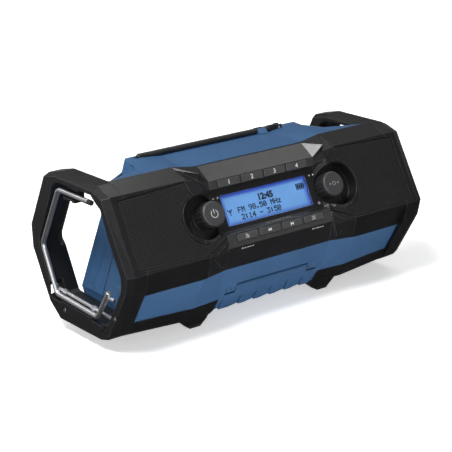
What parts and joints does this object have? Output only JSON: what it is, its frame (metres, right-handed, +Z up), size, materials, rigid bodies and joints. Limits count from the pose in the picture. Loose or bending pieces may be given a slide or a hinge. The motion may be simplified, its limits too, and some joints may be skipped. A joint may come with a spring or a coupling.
{
  "type": "jobsite radio",
  "caption": "Jobsite radio with two end ring handles, blue faceted housing, two grilles, display, push buttons, two rotary knobs, folding antenna, side hook and slide-on battery",
  "frame": {"origin": "bottom centre of the bounding box, on the ground under the middle of the body", "axes": "+X along the length to the right end ring, -Y toward the control face, +Z up"},
  "size_m": [0.43, 0.2032, 0.194],
  "materials": {
    "blue_plastic": "moulded blue housing plastic",
    "black_plastic": "moulded black plastic, fine grain",
    "grille_mesh": "black painted steel mesh",
    "panel_plastic": "dark grey moulded plastic",
    "window_glass": "clear display window",
    "lcd_screen": "backlit blue display",
    "button_plastic": "dark grey button plastic",
    "knob_plastic": "black knob plastic",
    "cap_plastic": "dark grey cap plastic",
    "bright_steel": "plated steel",
    "encoder_metal": "pressed metal",
    "board_green": "circuit board",
    "basket_plastic": "speaker basket",
    "cone_paper": "black treated paper cone",
    "antenna_rubber": "rubber covered antenna",
    "soft_rubber": "soft black rubber",
    "contact_brass": "spring contact",
    "latch_red": "red latch button"
  },
  "bodies": {
    "radio_body": {"front_shell": "blue_plastic", "rear_shell": "blue_plastic", "top_cover": "blue_plastic", "end_ring_left": "black_plastic", "end_ring_right": "black_plastic", "front_frame_left": "black_plastic", "front_frame_right": "black_plastic", "speaker_grille_left": "grille_mesh", "speaker_grille_right": "grille_mesh", "control_panel": "panel_plastic", "lcd_window": "window_glass", "lcd_module": "lcd_screen", "knob_washers": "soft_rubber", "encoder_left": "encoder_metal", "encoder_right": "encoder_metal", "main_board": "board_green", "display_board": "board_green", "speaker_basket_left": "basket_plastic", "speaker_basket_right": "basket_plastic", "speaker_cone_left": "cone_paper", "speaker_cone_right": "cone_paper", "speaker_magnet_left": "bright_steel", "speaker_magnet_right": "bright_steel", "antenna_knuckle": "black_plastic", "antenna_pin": "bright_steel", "antenna_clip": "blue_plastic", "hook_axle": "bright_steel", "hook_clip": "black_plastic", "door_pins": "bright_steel", "connector_block": "panel_plastic", "dc_inlet": "bright_steel", "skid_left": "black_plastic", "skid_right": "black_plastic", "rubber_feet": "soft_rubber", "battery_bay": "black_plastic", "battery_contacts": "contact_brass", "case_screws": "bright_steel", "ring_screws": "bright_steel", "shell_seal": "soft_rubber"},
    "preset_1": {"preset_button_1": "button_plastic"},
    "preset_2": {"preset_button_2": "button_plastic"},
    "preset_3": {"preset_button_3": "button_plastic"},
    "preset_4": {"preset_button_4": "button_plastic"},
    "function_1": {"function_button_1": "button_plastic"},
    "function_2": {"function_button_2": "button_plastic"},
    "function_3": {"function_button_3": "button_plastic"},
    "function_4": {"function_button_4": "button_plastic"},
    "volume_dial": {"volume_knob": "knob_plastic"},
    "volume_push": {"volume_cap": "cap_plastic"},
    "tuning_dial": {"tuning_knob": "knob_plastic"},
    "tuning_push": {"tuning_cap": "cap_plastic"},
    "antenna": {"antenna_rod": "antenna_rubber"},
    "hook": {"side_hook": "bright_steel", "hook_tip": "soft_rubber", "hook_hinge": "bright_steel"},
    "door": {"port_door": "blue_plastic"},
    "battery": {"battery_pack": "black_plastic"},
    "latch": {"battery_latch": "latch_red"}
  },
  "joints": [
    {"name": "preset_1_press", "type": "slide", "parent": "radio_body", "child": "preset_1", "axis": [0, 0.9573, -0.289], "range_m": [0, 0.001], "stiffness_N_per_m": 250},
    {"name": "preset_2_press", "type": "slide", "parent": "radio_body", "child": "preset_2", "axis": [0, 0.9573, -0.289], "range_m": [0, 0.001], "stiffness_N_per_m": 250},
    {"name": "preset_3_press", "type": "slide", "parent": "radio_body", "child": "preset_3", "axis": [0, 0.9573, -0.289], "range_m": [0, 0.001], "stiffness_N_per_m": 250},
    {"name": "preset_4_press", "type": "slide", "parent": "radio_body", "child": "preset_4", "axis": [0, 0.9573, -0.289], "range_m": [0, 0.001], "stiffness_N_per_m": 250},
    {"name": "function_1_press", "type": "slide", "parent": "radio_body", "child": "function_1", "axis": [0, 0.9563, -0.2924], "range_m": [0, 0.001], "stiffness_N_per_m": 250},
    {"name": "function_2_press", "type": "slide", "parent": "radio_body", "child": "function_2", "axis": [0, 0.9563, -0.2924], "range_m": [0, 0.001], "stiffness_N_per_m": 250},
    {"name": "function_3_press", "type": "slide", "parent": "radio_body", "child": "function_3", "axis": [0, 0.9563, -0.2924], "range_m": [0, 0.001], "stiffness_N_per_m": 250},
    {"name": "function_4_press", "type": "slide", "parent": "radio_body", "child": "function_4", "axis": [0, 0.9563, -0.2924], "range_m": [0, 0.001], "stiffness_N_per_m": 250},
    {"name": "volume_turn", "type": "hinge", "parent": "radio_body", "child": "volume_dial", "pos_m": [-0.0873, -0.066, 0.1332], "axis": [0, -0.8902, 0.4555], "continuous": true},
    {"name": "volume_press", "type": "slide", "parent": "volume_dial", "child": "volume_push", "axis": [0, 0.8902, -0.4555], "range_m": [0, 0.001], "stiffness_N_per_m": 300},
    {"name": "tuning_turn", "type": "hinge", "parent": "radio_body", "child": "tuning_dial", "pos_m": [0.0873, -0.066, 0.1332], "axis": [0, -0.8902, 0.4555], "continuous": true},
    {"name": "tuning_press", "type": "slide", "parent": "tuning_dial", "child": "tuning_push", "axis": [0, 0.8902, -0.4555], "range_m": [0, 0.001], "stiffness_N_per_m": 300},
    {"name": "antenna_raise", "type": "hinge", "parent": "radio_body", "child": "antenna", "pos_m": [0.092, 0.025, 0.1908], "axis": [0, 1, 0], "range_deg": [0, 90]},
    {"name": "hook_swing", "type": "hinge", "parent": "radio_body", "child": "hook", "pos_m": [-0.207, 0.01235, 0.0434], "axis": [0, -0.9988, -0.0493], "range_deg": [0, 90]},
    {"name": "door_open", "type": "hinge", "parent": "radio_body", "child": "door", "pos_m": [0, -0.0712, 0.0452], "axis": [-1, 0, 0], "range_deg": [0, 100]},
    {"name": "battery_slide", "type": "slide", "parent": "radio_body", "child": "battery", "axis": [0, 0, 1], "range_m": [0, 0.09]},
    {"name": "latch_press", "type": "slide", "parent": "battery", "child": "latch", "axis": [0, -1, 0], "range_m": [0, 0.003], "stiffness_N_per_m": 200}
  ]
}
